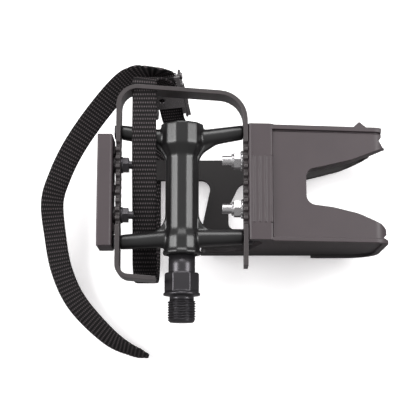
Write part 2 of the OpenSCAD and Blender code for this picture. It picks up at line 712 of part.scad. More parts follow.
// Route of the webbing, chosen by hand: [x, y, z] of its middle and the direction of its width.
// It runs from the buckle's sewn end in through the rail, across the body, round the inner side,
// over the tongue, down to the buckle and out as the free tail.
route = [
    [in_buckle([0, -2.3, 5]), across], [in_buckle([0, -2.3, 10]), across],
    [[-12, 112.6, -5.4], [1, 0, 0.1]], [[-15.2, 112.7, -0.4], [1, 0, 0]],
    [[-18.2, 111.4, 4.1], [1, 0, 0]], [[strap_x, 108.6, slot_z], [1, 0, 0]],
    [[strap_x, 98, slot_z], [1, 0, 0]], [[strap_x, 84, 5.7], [1, 0, 0]],
    [[strap_x, 76, 4.6], [1, 0, 0]], [[strap_x, 56, 0], [1, 0, 0]],
    [[strap_x, 36, -5.4], [1, 0, 0]], [[strap_x, 26, -7.4], [1, 0, 0]],
    [[strap_x, 17, -10.4], [1, 0, 0]], [[strap_x, 11.8, -17], [1, 0, 0]],
    [[strap_x, 10.4, -28], [1, 0, 0]], [[strap_x, 12.4, -42], [1, 0, 0]],
    [[strap_x, 19, -53], [1, 0, 0]], [[strap_x, 32, -58.6], [1, 0, 0]],
    [[strap_x, 52, -59.8], [1, 0, 0]], [[strap_x, 70, -59.8], [1, 0, 0]],
    [[-18.9, 79, -59.8], [1, 0, 0]], [[-14.6, 86.6, -58.2], [1, 0, 0]],
    [[-8.6, 91.8, -53.2], [1, 0, 0]], [in_buckle([0, run_y, -28]), across],
    [in_buckle([0, run_y, -17]), across], [in_buckle([0, run_y, -6]), across],
    [in_buckle([0, run_y, 5]), across], [in_buckle([0, run_y, 11]), across],
    [in_buckle([0, run_y + 0.2, 15.6]), across], [[-12.4, 117.1, -4], [0.9, 0.1, 0.35]],
    [[-14.8, 117.1, -2.6], [0.6, 0.25, 0.7]], [[-18, 116.9, -2.6], [0.35, 0.3, 0.87]],
    [[-24, 116.5, -6], [0, 0.62, 0.78]],
    [[-34.2, 112.3, -16], [-0.3, 0.8, 0.5]], [[-48.2, 99.2, -28], [-0.6, 0.7, 0.36]],
    [[-60, 84, -36], [-0.8, 0.55, 0.2]], [[-67.8, 69.7, -42], [-0.9, 0.4, 0.1]],
    [[-72.1, 56.1, -46], [-1, 0.1, 0.1]], [[-70.7, 38.3, -50], [-0.95, -0.15, -0.2]],
    [[-67.1, 19.3, -54], [-0.95, -0.3, -0.2]], [[-58.6, 1.6, -57], [-0.85, -0.5, 0]],
    [[-42.2, -15.7, -60.2], [-0.6, -0.8, 0]], [[-21.5, -27, -61.2], [-0.45, -0.9, 0]]
];

// Smooth curve through the route, n steps to a leg
function along(list, i, k, t) =
    let (
        m = len(list) - 1,
        a = list[max(0, i - 1)][k], b = list[i][k], c = list[min(m, i + 1)][k], d = list[min(m, i + 2)][k]
    )
    0.5 * (2 * b + (c - a) * t + (2 * a - 5 * b + 4 * c - d) * t * t + (3 * b - a - 3 * c + d) * t * t * t);

// Strap: one length of webbing with a cut tip
module strap() color([0.1, 0.1, 0.11]) {
    steps = 4;
    m = len(route) - 1;
    line = concat([for (i = [0:m - 1]) for (s = [0:steps - 1]) [along(route, i, 0, s / steps),
        along(route, i, 1, s / steps)]], [[route[m][0], route[m][1]]]);
    n = len(line);
    points = [for (i = [0:n - 1])
        let (
            t = unit(line[min(n - 1, i + 1)][0] - line[max(0, i - 1)][0]),
            w = unit(line[i][1] - (line[i][1] * t) * t),
            u = cross(t, w),
            half = strap_w / 2 * (i == n - 1 ? 0.35 : 1)
        )
        for (q = [[-1, -1], [1, -1], [1, 1], [-1, 1]])
            line[i][0] + w * half * q.x + u * strap_t / 2 * q.y];
    polyhedron(points = points, faces = concat(
        [[0, 1, 2, 3]],
        [for (i = [0:n - 2]) for (k = [0:3])
            each [
                [i * 4 + k, (i + 1) * 4 + k, (i + 1) * 4 + (k + 1) % 4],
                [i * 4 + k, (i + 1) * 4 + (k + 1) % 4, i * 4 + (k + 1) % 4]
            ]],
        [[n * 4 - 1, n * 4 - 2, n * 4 - 3, n * 4 - 4]]
    ));
}

spindle();
spindle_seal();
inner_bush();
bearing_cup();
bearing_balls();
bearing_cone();
lock_washer();
lock_nut();
dust_cap();
pedal_body();
cage();
cage_screws();
toe_clip();
clip_bolts();
clip_washers();
clip_nuts();
reflector_housing();
reflector_lens();
reflector_studs();
reflector_nuts();
strap();
buckle_frame();
buckle_lever();
buckle_pin();
buckle_spring();
buckle_roller();
roller_pin();
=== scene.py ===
"""Visual model of a bicycle pedal with a toe clip and a strap, dressed over its CAD frame."""

import json
import logging
import math
from dataclasses import dataclass
from enum import Enum

import bmesh
import bpy
import numpy as np
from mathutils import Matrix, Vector

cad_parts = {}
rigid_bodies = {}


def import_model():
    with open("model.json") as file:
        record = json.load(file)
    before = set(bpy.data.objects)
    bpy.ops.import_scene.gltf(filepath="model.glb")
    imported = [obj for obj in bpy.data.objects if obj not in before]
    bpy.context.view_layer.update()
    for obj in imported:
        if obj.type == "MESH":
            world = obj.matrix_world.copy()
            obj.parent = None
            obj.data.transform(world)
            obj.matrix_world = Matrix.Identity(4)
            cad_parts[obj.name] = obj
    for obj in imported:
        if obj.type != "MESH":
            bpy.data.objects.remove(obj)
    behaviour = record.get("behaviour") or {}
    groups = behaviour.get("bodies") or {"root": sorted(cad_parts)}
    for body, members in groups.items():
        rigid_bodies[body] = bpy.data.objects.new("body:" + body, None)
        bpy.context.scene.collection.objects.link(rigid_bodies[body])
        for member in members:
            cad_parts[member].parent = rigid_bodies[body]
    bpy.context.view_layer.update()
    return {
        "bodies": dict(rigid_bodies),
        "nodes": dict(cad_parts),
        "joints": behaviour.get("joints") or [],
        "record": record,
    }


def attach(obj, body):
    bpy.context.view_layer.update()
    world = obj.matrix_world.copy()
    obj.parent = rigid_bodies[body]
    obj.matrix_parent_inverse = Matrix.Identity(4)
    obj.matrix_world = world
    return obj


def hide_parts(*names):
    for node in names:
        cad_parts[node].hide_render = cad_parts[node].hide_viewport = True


LOG = logging.getLogger("pedal")
MM = 0.001
Tree = bpy.types.NodeTree
Node = bpy.types.Node


def to_linear(code: str) -> tuple[float, float, float, float]:
    """Turn an sRGB hex colour into linear RGBA.

    Args:
        code: Six hex digits.

    Returns:
        Red, green, blue and alpha, each from 0 to 1.
    """
    parts = [int(code[i : i + 2], 16) / 255 for i in (0, 2, 4)]
    curve = [c / 12.92 if c <= 0.04045 else ((c + 0.055) / 1.055) ** 2.4 for c in parts]
    return (*curve, 1.0)


def add(tree: Tree, kind: str, settings: dict | None = None, **links: object) -> Node:
    """Add a node with its settings and its incoming links.

    Args:
        tree: Node tree that gets the node.
        kind: Blender's name for the node type, without the ShaderNode prefix.
        settings: Attributes of the node by name, or socket values by the socket's name or index.
        links: Output sockets or plain values, by input socket name with _ for each space.

    Returns:
        The new node.
    """
    node = tree.nodes.new("ShaderNode" + kind)
    for name, value in (settings or {}).items():
        if isinstance(name, int) or name in node.inputs:
            node.inputs[name].default_value = value
        else:
            setattr(node, name, value)
    for name, value in links.items():
        key = int(name[1:]) if name[1:].isdigit() else name.replace("_", " ")
        socket = node.inputs[key]
        if isinstance(value, bpy.types.NodeSocket):
            tree.links.new(value, socket)
        else:
            socket.default_value = value
    return node


@dataclass(frozen=True)
class Finish:
    """A surface: its colours, its gloss, the relief that breaks up its highlights and, where set, a
    painted shade towards the bottom.
    """

    name: str
    color: str
    worn: str
    metallic: float = 0.0
    roughness: float = 0.5
    ior: float = 1.5
    coat: float = 0.0
    coat_roughness: float = 0.1
    grain_mm: float = 0.6
    grain_depth: float = 0.05
    patch_mm: float = 14.0
    rough_spread: float = 0.08
    transmission: float = 0.0
    # Painted shade: a dark colour that the surface fades to between two heights, towards the bottom.
    painted_shade: str = ""
    painted_shade_from_mm: float = -24.0
    painted_shade_to_mm: float = -52.0
    patch_detail: float = 3.0
    grain_detail: float = 2.0
    relief_share: float = 0.4

    def build(self) -> bpy.types.Material:
        """Make the material: two noises on object coordinates drive colour, roughness and bump.

        Where the finish has a painted shade colour, the colour fades to it between two heights, as
        painted shade on the lower faces.

        Returns:
            The new material.
        """
        material = bpy.data.materials.new(self.name)
        material.use_nodes = True
        tree = material.node_tree
        tree.nodes.clear()
        place = add(tree, "TexCoord").outputs["Object"]
        broad = {"Scale": 1 / (self.patch_mm * MM), "Detail": self.patch_detail}
        fine = {"Scale": 1 / (self.grain_mm * MM), "Detail": self.grain_detail}
        patch = add(tree, "TexNoise", broad, Vector=place)
        grain = add(tree, "TexNoise", fine, Vector=place)
        mix = add(
            tree,
            "Mix",
            {"data_type": "RGBA"},
            _0=patch.outputs["Fac"],
            _6=to_linear(self.color),
            _7=to_linear(self.worn),
        )
        colour = mix.outputs[2]
        # Painted shade: the colour darkens towards the bottom, in place of the shade that falls on
        # the low, hidden faces.
        if self.painted_shade:
            height = add(tree, "SeparateXYZ", None, Vector=place).outputs["Z"]
            depth = add(
                tree,
                "MapRange",
                {"From Min": self.painted_shade_from_mm * MM, "From Max": self.painted_shade_to_mm * MM},
                Value=height,
            )
            colour = add(
                tree,
                "Mix",
                {"data_type": "RGBA"},
                _0=depth.outputs["Result"],
                _6=colour,
                _7=to_linear(self.painted_shade),
            ).outputs[2]
        rough = add(
            tree,
            "MapRange",
            {
                "To Min": self.roughness - self.rough_spread,
                "To Max": self.roughness + self.rough_spread,
            },
            Value=grain.outputs["Fac"],
        )
        bump = add(
            tree,
            "Bump",
            {"Strength": self.grain_depth, "Distance": self.grain_mm * MM * self.relief_share},
            Height=grain.outputs["Fac"],
        )
        shader = add(
            tree,
            "BsdfPrincipled",
            {
                "Metallic": self.metallic,
                "IOR": self.ior,
                "Coat Weight": self.coat,
                "Coat Roughness": self.coat_roughness,
                "Transmission Weight": self.transmission,
            },
            Base_Color=colour,
            Roughness=rough.outputs["Result"],
            Normal=bump.outputs["Normal"],
        )
        add(tree, "OutputMaterial", None, Surface=shader.outputs["BSDF"])
        return material


@dataclass(frozen=True)
class WebbingFinish:
    """Ribbed polyester webbing: rows of short dashes where the warp floats over each weft."""

    name: str = "polyester_webbing_ribbed"
    thread: str = "5b5456"
    gap: str = "0a0809"
    rib_mm: float = 2.15
    warp_mm: float = 1.2
    ridge_power: float = 2.2
    fibre_scale: float = 3.0
    full_light: float = 0.55
    relief_mm: float = 0.35
    relief_strength: float = 0.8
    roughness: float = 0.7
    specular: float = 0.2

    def build(self) -> bpy.types.Material:
        """Make the material from the piece's UV map, which is in millimetres across and along.

        A dash is a raised cosine across times a power of one along, and each row is shifted by
        half a dash against the last.

        Returns:
            The new material.
        """
        material = bpy.data.materials.new(self.name)
        material.use_nodes = True
        tree = material.node_tree
        tree.nodes.clear()
        place = add(tree, "UVMap", {"uv_map": "weave"}).outputs["UV"]
        split = add(tree, "SeparateXYZ", None, Vector=place)

        def wave(value: bpy.types.NodeSocket, pitch: float) -> bpy.types.NodeSocket:
            """Turn a length into a raised cosine from 0 to 1.

            Args:
                value: The length's socket, in millimetres.
                pitch: The cosine's length, in millimetres.

            Returns:
                The cosine's socket.
            """
            turns = add(tree, "Math", {"operation": "MULTIPLY", 1: 2 * math.pi / pitch}, _0=value)
            cosine = add(tree, "Math", {"operation": "COSINE"}, _0=turns.outputs[0])
            half = {"operation": "MULTIPLY_ADD", 1: 0.5, 2: 0.5}
            return add(tree, "Math", half, _0=cosine.outputs[0]).outputs[0]

        row = add(tree, "Math", {"operation": "MULTIPLY", 1: 1 / self.rib_mm}, _0=split.outputs["Y"])
        row = add(tree, "Math", {"operation": "ROUND"}, _0=row.outputs[0])
        shift = add(
            tree,
            "Math",
            {"operation": "MULTIPLY_ADD", 1: self.warp_mm / 2},
            _0=row.outputs[0],
            _2=split.outputs["X"],
        )
        across = wave(shift.outputs[0], self.warp_mm)
        along = wave(split.outputs["Y"], self.rib_mm)
        ridge = add(tree, "Math", {"operation": "POWER", 1: self.ridge_power}, _0=along)
        dash = add(tree, "Math", {"operation": "MULTIPLY"}, _0=across, _1=ridge.outputs[0])
        fibre = add(tree, "TexNoise", {"Scale": self.fibre_scale, "Detail": 3.0}, Vector=place)
        product = {"operation": "MULTIPLY"}
        light = add(tree, "Math", product, _0=dash.outputs[0], _1=fibre.outputs["Fac"])
        spread = add(tree, "MapRange", {"From Max": self.full_light}, Value=light.outputs[0])
        mix = add(
            tree,
            "Mix",
            {"data_type": "RGBA"},
            _0=spread.outputs["Result"],
            _6=to_linear(self.gap),
            _7=to_linear(self.thread),
        )
        bump = add(
            tree,
            "Bump",
            {"Strength": self.relief_strength, "Distance": self.relief_mm * MM},
            Height=dash.outputs[0],
        )
        shader = add(
            tree,
            "BsdfPrincipled",
            {"Roughness": self.roughness, "Specular IOR Level": self.specular},
            Base_Color=mix.outputs[2],
            Normal=bump.outputs["Normal"],
        )
        add(tree, "OutputMaterial", None, Surface=shader.outputs["BSDF"])
        return material


# Gloss paint sprayed on cast aluminium: near black, with soft bands of light along the barrel.
GLOSS_BLACK = Finish(
    name="aluminium_gloss_black_paint",
    color="0c0b0c",
    worn="100f10",
    roughness=0.38,
    coat=0.25,
    coat_roughness=0.24,
    grain_mm=0.5,
    grain_depth=0.03,
)
# Satin paint on steel strip: dark grey, with a half-dull, slightly speckled edge.
SATIN_STEEL = Finish(
    name="steel_satin_black_paint",
    color="2f2b2c",
    worn="443e3f",
    metallic=0.15,
    roughness=0.42,
    coat=0.35,
    coat_roughness=0.25,
    grain_mm=0.4,
    grain_depth=0.3,
)
# Blackened turned steel: a dark metal that still shows grey glints on its flats.
BLACK_OXIDE = Finish(
    name="steel_black_oxide",
    color="3b393c",
    worn="484649",
    metallic=0.75,
    roughness=0.34,
    grain_mm=0.4,
    grain_depth=0.08,
)
# Bright zinc plating: pale metal with crisp reflections.
ZINC = Finish(
    name="steel_bright_zinc",
    color="cfcdce",
    worn="b3b1b3",
    metallic=0.95,
    roughness=0.28,
    grain_mm=0.4,
)
# Ground bearing steel: bright and nearly a mirror.
RACE_STEEL = Finish(
    name="steel_ground_race",
    color="c4c4c6",
    worn="b4b4b7",
    metallic=1.0,
    roughness=0.18,
    grain_mm=0.3,
    grain_depth=0.03,
)
# Sintered bronze: warm brown metal with an open, dull grain.
BRONZE = Finish(
    name="bronze_sintered",
    color="9a7440",
    worn="83602f",
    metallic=1.0,
    roughness=0.42,
    grain_mm=0.3,
    grain_depth=0.15,
)
# Moulded nylon: even dark grey with a slight brown cast, matt, with painted shade that darkens it
# towards the bottom.
NYLON = Finish(
    name="nylon_moulded_dark_grey",
    color="433a3d",
    worn="3b3336",
    ior=1.53,
    grain_mm=0.5,
    grain_depth=0.1,
    # Painted shade towards the bottom of the clip and the reflector housing.
    painted_shade="1a1617",
)
# Moulded polypropylene: black and slightly waxy.
CAP_PLASTIC = Finish(
    name="polypropylene_black",
    color="141414",
    worn="1b1b1b",
    roughness=0.45,
    ior=1.49,
    grain_mm=0.5,
    grain_depth=0.1,
)
# Moulded nitrile rubber: black and matt.
RUBBER = Finish(
    name="nitrile_rubber",
    color="101010",
    worn="181818",
    roughness=0.7,
    ior=1.52,
    grain_mm=0.4,
    grain_depth=0.2,
)
# Moulded acrylic: glossy amber. Its prisms are drawn coarse, as a 2 mm ripple, so that they show.
AMBER = Finish(
    name="acrylic_amber_prisms",
    color="e0701a",
    worn="c95f12",
    roughness=0.12,
    ior=1.49,
    coat=0.4,
    coat_roughness=0.05,
    grain_mm=2.0,
    grain_depth=0.3,
    transmission=0.3,
)
# Black nickel on pressed steel: a grey metal sheen.
BUCKLE_BLACK = Finish(
    name="steel_black_nickel",
    color="7a7778",
    worn="858283",
    metallic=0.9,
    roughness=0.24,
    coat=0.4,
    coat_roughness=0.08,
    grain_mm=0.4,
)
# Drawn spring wire: bright grey metal.
SPRING_WIRE = Finish(
    name="spring_steel_wire",
    color="9a999b",
    worn="858486",
    metallic=1.0,
    roughness=0.25,
    grain_mm=0.3,
)
# Woven polyester: near black, with rows of small paler dashes.
WEBBING = WebbingFinish()

CAD_FINISHES: dict[str, Finish] = {
    "spindle_seal": RUBBER,
    "inner_bush": BRONZE,
    "bearing_cup": RACE_STEEL,
    "bearing_balls": RACE_STEEL,
    "bearing_cone": RACE_STEEL,
    "lock_washer": ZINC,
    "lock_nut": ZINC,
    "dust_cap": CAP_PLASTIC,
    "spindle": BLACK_OXIDE,
    "pedal_body": GLOSS_BLACK,
    "cage": SATIN_STEEL,
    "cage_screws": BLACK_OXIDE,
    "toe_clip": NYLON,
    "clip_bolts": ZINC,
    "clip_washers": ZINC,
    "clip_nuts": ZINC,
    "reflector_housing": NYLON,
    "reflector_lens": AMBER,
    "reflector_studs": BLACK_OXIDE,
    "reflector_nuts": BLACK_OXIDE,
    "buckle_frame": BUCKLE_BLACK,
    "buckle_lever": BUCKLE_BLACK,
    "buckle_pin": BUCKLE_BLACK,
    "buckle_spring": SPRING_WIRE,
    "buckle_roller": BUCKLE_BLACK,
    "roller_pin": BUCKLE_BLACK,
}


def grid_mesh(name: str, points: np.ndarray, closed: bool) -> bpy.types.Object:
    """Make an object from a grid of points, with quads between neighbours.

    Args:
        name: Name of the object.
        points: Array of v rows, u columns and three coordinates, in metres.
        closed: Whether the last column joins the first.

    Returns:
        The new object, smooth shaded.
    """
    rows, columns, _ = points.shape
    v, u = np.meshgrid(
        np.arange(rows - 1),
        np.arange(columns if closed else columns - 1),
        indexing="ij",
    )
    v1, u1 = v + 1, (u + 1) % columns
    low, high = v * columns, v1 * columns
    quads = np.stack([low + u, low + u1, high + u1, high + u], axis=-1)
    mesh = bpy.data.meshes.new(name)
    mesh.from_pydata(points.reshape(-1, 3).tolist(), [], quads.reshape(-1, 4).tolist())
    mesh.polygons.foreach_set("use_smooth", np.ones(len(mesh.polygons), bool))
    piece = bpy.data.objects.new(name, mesh)
    bpy.context.scene.collection.objects.link(piece)
    return piece


def smooth_rows(points: np.ndarray, steps: int) -> np.ndarray:
    """Carry a smooth curve through rows of values.

    The curve between two rows is the Catmull-Rom cubic of the four nearest rows.

    Args:
        points: One row for each point.
        steps: New rows for each old one.

    Returns:
        The finer rows, first and last kept.
    """
    padded = np.concatenate([points[:1], points, points[-1:]])
    a, b, c, d = padded[:-3, None], padded[1:-2, None], padded[2:-1, None], padded[3:, None]
    t = (np.arange(steps) / steps)[None, :, None]
    fine = 0.5 * (
        2 * b + (c - a) * t + (2 * a - 5 * b + 4 * c - d) * t**2 + (3 * b - a - 3 * c + d) * t**3
    )
    return np.concatenate([fine.reshape(-1, points.shape[1]), points[-1:]])


def normalised(rows: np.ndarray) -> np.ndarray:
    """Divide each row by its length.

    Args:
        rows: One direction for each row.

    Returns:
        The directions, each of length one.
    """
    return rows / np.linalg.norm(rows, axis=-1, keepdims=True)


BUCKLE_AT = (-8.5, 108.5, -21)
BUCKLE_LEAN = -29
BUCKLE_ROLL = -8.5


def in_buckle(y: float, z: float) -> tuple[float, ...]:
    """Turn a place on the buckle's middle plane into the part's frame.

    The place is rolled about Y, then leant about X, then moved to where the buckle stands.

    Args:
        y: Height over the back plate, in millimetres.
        z: Distance along the back plate from its middle, in millimetres.

    Returns:
        The place and the direction across the buckle, six numbers.
    """
    lean, roll = math.radians(BUCKLE_LEAN), math.radians(BUCKLE_ROLL)
    turn = np.array(
        [
            [math.cos(roll), 0, math.sin(roll)],
            [math.sin(lean) * math.sin(roll), math.cos(lean), -math.sin(lean) * math.cos(roll)],
            [-math.cos(lean) * math.sin(roll), math.sin(lean), math.cos(lean) * math.cos(roll)],
        ]
    )
    place = turn @ np.array([0, y, z]) + np.array(BUCKLE_AT)
    return (*place, *turn[:, 0])


# The strap's route: place in millimetres and the direction of the width. It follows the part's,
# but the tail's last stretch is turned on edge and its folds by the buckle are a little tighter.
ROUTE: list[tuple[float, ...]] = [
    in_buckle(-2.3, 5), in_buckle(-2.3, 10), (-13, 112.4, -5.4, 1, 0, 0.1),
    (-16.2, 112.4, -0.4, 1, 0, 0), (-18.6, 111, 4.1, 1, 0, 0), (-19.3, 108, 5.8, 1, 0, 0),
    (-19.3, 98, 5.8, 1, 0, 0), (-19.3, 84, 5.7, 1, 0, 0), (-19.3, 76, 4.6, 1, 0, 0),
    (-19.3, 56, 0, 1, 0, 0), (-19.3, 36, -5.4, 1, 0, 0), (-19.3, 26, -7.4, 1, 0, 0),
    (-19.3, 17, -10.4, 1, 0, 0), (-19.3, 11.8, -17, 1, 0, 0), (-19.3, 10.4, -28, 1, 0, 0),
    (-19.3, 12.4, -42, 1, 0, 0), (-19.3, 19, -53, 1, 0, 0), (-19.3, 32, -58.6, 1, 0, 0),
    (-19.3, 52, -59.8, 1, 0, 0), (-19.3, 70, -59.8, 1, 0, 0), (-18.9, 79, -59.8, 1, 0, 0),
    (-14.6, 86.6, -58.2, 1, 0, 0), (-8.6, 91.8, -53.2, 1, 0, 0), in_buckle(1.1, -28),
    in_buckle(1.1, -17), in_buckle(1.1, -6), in_buckle(1.1, 5), in_buckle(1.1, 11),
    in_buckle(1.3, 15.6), (-12.8, 117.1, -4.4, 0.8, 0.05, 0.5),
    (-15.6, 117.1, -3.4, 0.5, 0.12, 0.86), (-19.4, 117, -3.8, 0.25, 0.3, 0.92),
    (-25, 116.4, -7, 0.0, 0.5, 0.86), (-34.2, 112.3, -16, -0.3, 0.74, 0.6),
    (-48.2, 99.2, -28, -0.6, 0.7, 0.36), (-60, 84, -36, -0.8, 0.55, 0.2),
    (-67.8, 69.7, -42, -0.9, 0.4, 0.1), (-72.1, 56.1, -46, -1, 0.1, 0.1),
    (-70.7, 38.3, -50, -0.95, -0.15, -0.2), (-67.1, 19.3, -54, -0.93, -0.3, -0.3),
    (-58.6, 1.6, -56.6, -0.8, -0.48, -0.4), (-42.2, -15.7, -57.6, -0.46, -0.62, -0.68),
    (-29.5, -23.6, -56.6, -0.2, -0.4, -0.9), (-19, -27.4, -56.8, -0.1, -0.22, -0.97),
]


@dataclass
class Strap:
    """The webbing: one woven ribbon along the route, with raised ribs and rounded edges."""

    width: float = 12.4
    thickness: float = 1.6
    rib: float = 2.15
    rib_height: float = 0.14
    step: float = 0.34
    around: int = 28
    route_steps: int = 60
    edge_power: float = 0.3
    face_power: float = 0.6
    tip_length: float = 5.0
    tip_share: float = 0.35

    def path(self) -> tuple[np.ndarray, np.ndarray]:
        """Space rows evenly along the smoothed route.

        Returns:
            The distance of each row from the start, and its place and direction of the width.
        """
        rows = smooth_rows(np.array(ROUTE, float), self.route_steps)
        gaps = np.linalg.norm(np.diff(rows[:, :3], axis=0), axis=1)
        along = np.concatenate([[0], np.cumsum(gaps)])
        places = np.linspace(0, along[-1], int(along[-1] / self.step))
        return places, np.stack([np.interp(places, along, rows[:, k]) for k in range(6)], axis=1)

    def section(self) -> tuple[np.ndarray, np.ndarray]:
        """Outline the ribbon's section.

        It is a superellipse, x = w/2 sgn(cos a)|cos a|^0.3 and y = t/2 sgn(sin a)|sin a|^0.6.

        Returns:
            The place across the width and through the thickness for each point round the section.
        """
        angle = np.arange(self.around) * 2 * math.pi / self.around
        cos, sin = np.cos(angle), np.sin(angle)
        x = np.sign(cos) * np.abs(cos) ** self.edge_power * self.width / 2
        y = np.sign(sin) * np.abs(sin) ** self.face_power * self.thickness / 2
        return x, y

    def lay_weave(self, piece: bpy.types.Object, across: np.ndarray, along: np.ndarray) -> None:
        """Give the ribbon its UV map, in millimetres across and along.

        Args:
            piece: The ribbon.
            across: Place across the width for each column of its grid.
            along: Distance from the start for each row of its grid.
        """
        u, v = np.meshgrid(across, along)
        layer = piece.data.uv_layers.new(name="weave")
        corner = np.zeros(len(piece.data.loops), np.int32)
        piece.data.loops.foreach_get("vertex_index", corner)
        uv = np.stack([u, v], axis=-1).reshape(-1, 2)
        layer.data.foreach_set("uv", uv[corner].astype(np.float32).ravel())

    def build(self) -> None:
        """Sweep the section along the route.

        Its thickness swells and sinks along the length as a cosine of the rib's pitch, and its
        width narrows in a straight line over the tip.
        """
        places, rows = self.path()
        centre = rows[:, :3]
        tangent = normalised(np.gradient(centre, axis=0))
        side = normalised(rows[:, 3:] - (rows[:, 3:] * tangent).sum(1, keepdims=True) * tangent)
        up = np.cross(tangent, side)
        x, y = self.section()
        swell = 1 + self.rib_height * np.cos(places * 2 * math.pi / self.rib)
        left = np.clip((places[-1] - places) / self.tip_length, 0, 1)
        tip = left * (1 - self.tip_share) + self.tip_share
        points = (
            centre[:, None]
            + side[:, None] * (x[None] * tip[:, None])[..., None]
            + up[:, None] * (y[None] * swell[:, None])[..., None]
        )
        start, end = (
            np.broadcast_to(points[row].mean(0), (1, self.around, 3)) for row in (0, -1)
        )
        points = np.concatenate([start, points, end]) * MM
        piece = grid_mesh("strap_webbing", points[:, ::-1], True)
        self.lay_weave(piece, x[::-1], np.concatenate([places[:1], places, places[-1:]]))
        piece.data.materials.append(WEBBING.build())
        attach(piece, "pedal")
        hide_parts("strap")
        LOG.info("strap: %.0f mm long, %d points", places[-1], len(points) * self.around)


@dataclass
class Spindle:
    """The spindle with its crank thread cut as a helix."""

    thread_r: float = 7.145
    pitch: float = 1.27
    depth: float = 0.72
    undercut: float = 3.0
    length: float = 13.5
    flange_r: float = 9.3
    flange_t: float = 2.4
    wrench_af: float = 15.0
    wrench_end: float = 11.4
    collar_r: float = 6.7
    collar_end: float = 20.1
    journal_r: float = 5.0
    journal_end: float = 75.25
    tail_r: float = 3.0
    tail_end: float = 84.9
    sides: int = 96
    flank_slope: float = 1.25
    crest_flat: float = 0.1
    thread_chamfer: float = 1.3
    undercut_depth: float = 1.0
    corner_ratio: float = 1.155
    corner_round: float = 0.5
    rim: float = 0.9
    rim_slope: float = 1.1
    rim_edge: float = 0.25

    def radius(self, y: np.ndarray, turn: np.ndarray) -> np.ndarray:
        """Work out the surface's distance from the axis.

        The thread is a triangle wave of y minus pitch times the turn, and the flats are the
        hexagon af/2 over the cosine of the angle from the nearest flat, rounded by a cone at the
        end. The flange is a cylinder with a broken edge that falls away as a cone.

        Args:
            y: Place along the axis, in millimetres.
            turn: Angle round the axis, in radians.

        Returns:
            The radius, in millimetres.
        """
        phase = (y / self.pitch - turn / (2 * math.pi)) % 1.0
        wave = np.clip(np.abs(phase - 0.5) * 2 * self.flank_slope - self.crest_flat, 0, 1)
        cut = self.thread_r - self.depth * wave
        end = np.clip(self.thread_chamfer - (y + self.length), 0, self.thread_chamfer)
        thread = np.minimum(cut, self.thread_r - end)
        angle = (turn + math.pi / 6) % (math.pi / 3) - math.pi / 6
        flats = self.wrench_af / 2 / np.cos(angle)
        blend = np.clip((y - (self.wrench_end - self.corner_round)) / self.corner_round, 0, 1)
        corners = self.wrench_af / 2 * self.corner_ratio - blend * self.corner_round
        flats = np.minimum(flats, corners)
        flange = np.where(
            y < self.rim,
            self.flange_r - np.clip(self.rim_edge - y, 0, self.rim_edge),
            self.flange_r - (y - self.rim) * self.rim_slope,
        )
        return np.select(
            [
                y < -self.undercut,
                y < 0,
                y < self.flange_t,
                y < self.wrench_end,
                y < self.collar_end,
                y < self.journal_end,
            ],
            [
                thread,
                self.thread_r - self.undercut_depth + 0 * turn,
                np.maximum(flange, flats),
                flats,
                self.collar_r + 0 * turn,
                self.journal_r + 0 * turn,
            ],
            self.tail_r + 0 * turn,
        )

    def build(self) -> None:
        """Turn the radius function round the axis, with close rows on the thread."""
        steps = [
            np.arange(-self.length, -self.undercut, self.pitch / 10),
            np.array([-self.undercut - 1e-4, -self.undercut, -0.05, 0.0, self.rim_edge, self.rim]),
            np.linspace(self.rim + 0.3, self.flange_t, 5),
            np.linspace(self.flange_t + 0.01, self.wrench_end - 0.001, 14),
            np.array([self.wrench_end, self.wrench_end + 0.3, 15.0]),
            np.array([self.collar_end - 0.001, self.collar_end]),
            np.array([self.journal_end - 0.001, self.journal_end, self.tail_end]),
        ]
        y = np.concatenate(steps)
        turn = np.arange(self.sides) * 2 * math.pi / self.sides
        r = self.radius(y[:, None], turn[None])
        y = np.concatenate([y[:1], y, y[-1:]])
        r = np.concatenate([0 * r[:1], r, 0 * r[-1:]])
        points = np.stack(
            [r * np.sin(turn), np.broadcast_to(y[:, None], r.shape), r * np.cos(turn)], axis=-1
        )
        piece = grid_mesh("spindle_turned", points * MM, True)
        piece.data.materials.append(BLACK_OXIDE.build())
        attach(piece, "spindle_set")
        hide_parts("spindle")
        LOG.info("spindle: %d rows", len(y))


@dataclass(frozen=True)
class Softened:
    """A CAD node with its sharp edges rounded, as moulding, casting and plating leave them."""

    node: str
    radius: float = 0.2
    segments: int = 2
    limit: float = 32.0
    body: str = "pedal"
    merge_mm: float = 0.002
    flat_degrees: float = 0.6
    face_weight: int = 90

    def copy(self, frame: dict[str, object]) -> bpy.types.Object:
        """Copy the node's mesh, join its loose triangles and merge the flat ones.


        Returns:
            The new object with the node's finish.
        """
        source = frame["nodes"][self.node]
        work = bmesh.new()
        work.from_mesh(source.data)
        bmesh.ops.remove_doubles(work, verts=work.verts, dist=self.merge_mm * MM)
        bmesh.ops.dissolve_limit(
            work,
            angle_limit=math.radians(self.flat_degrees),
            verts=work.verts,
            edges=work.edges,
            delimit={"NORMAL"},
        )
        mesh = bpy.data.meshes.new(self.node + "_soft")
        work.to_mesh(mesh)
        work.free()
        mesh.materials.append(source.data.materials[0])
        mesh.shade_smooth()
        piece = bpy.data.objects.new(mesh.name, mesh)
        bpy.context.scene.collection.objects.link(piece)
        return piece

    def build(self, frame: dict[str, object]) -> None:
        """Round the edges that are sharper than the limit and take the node's place.
        """
        piece = self.copy(frame)
        bevel = piece.modifiers.new("round", "BEVEL")
        bevel.width = self.radius * MM
        bevel.segments = self.segments
        bevel.limit_method = "ANGLE"
        bevel.angle_limit = math.radians(self.limit)
        bevel.use_clamp_overlap = False
        bevel.miter_outer = "MITER_ARC"
        flat = piece.modifiers.new("flat", "WEIGHTED_NORMAL")
        flat.weight = self.face_weight
        flat.keep_sharp = True
        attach(piece, self.body)
        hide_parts(self.node)
        LOG.info("softened %s", self.node)


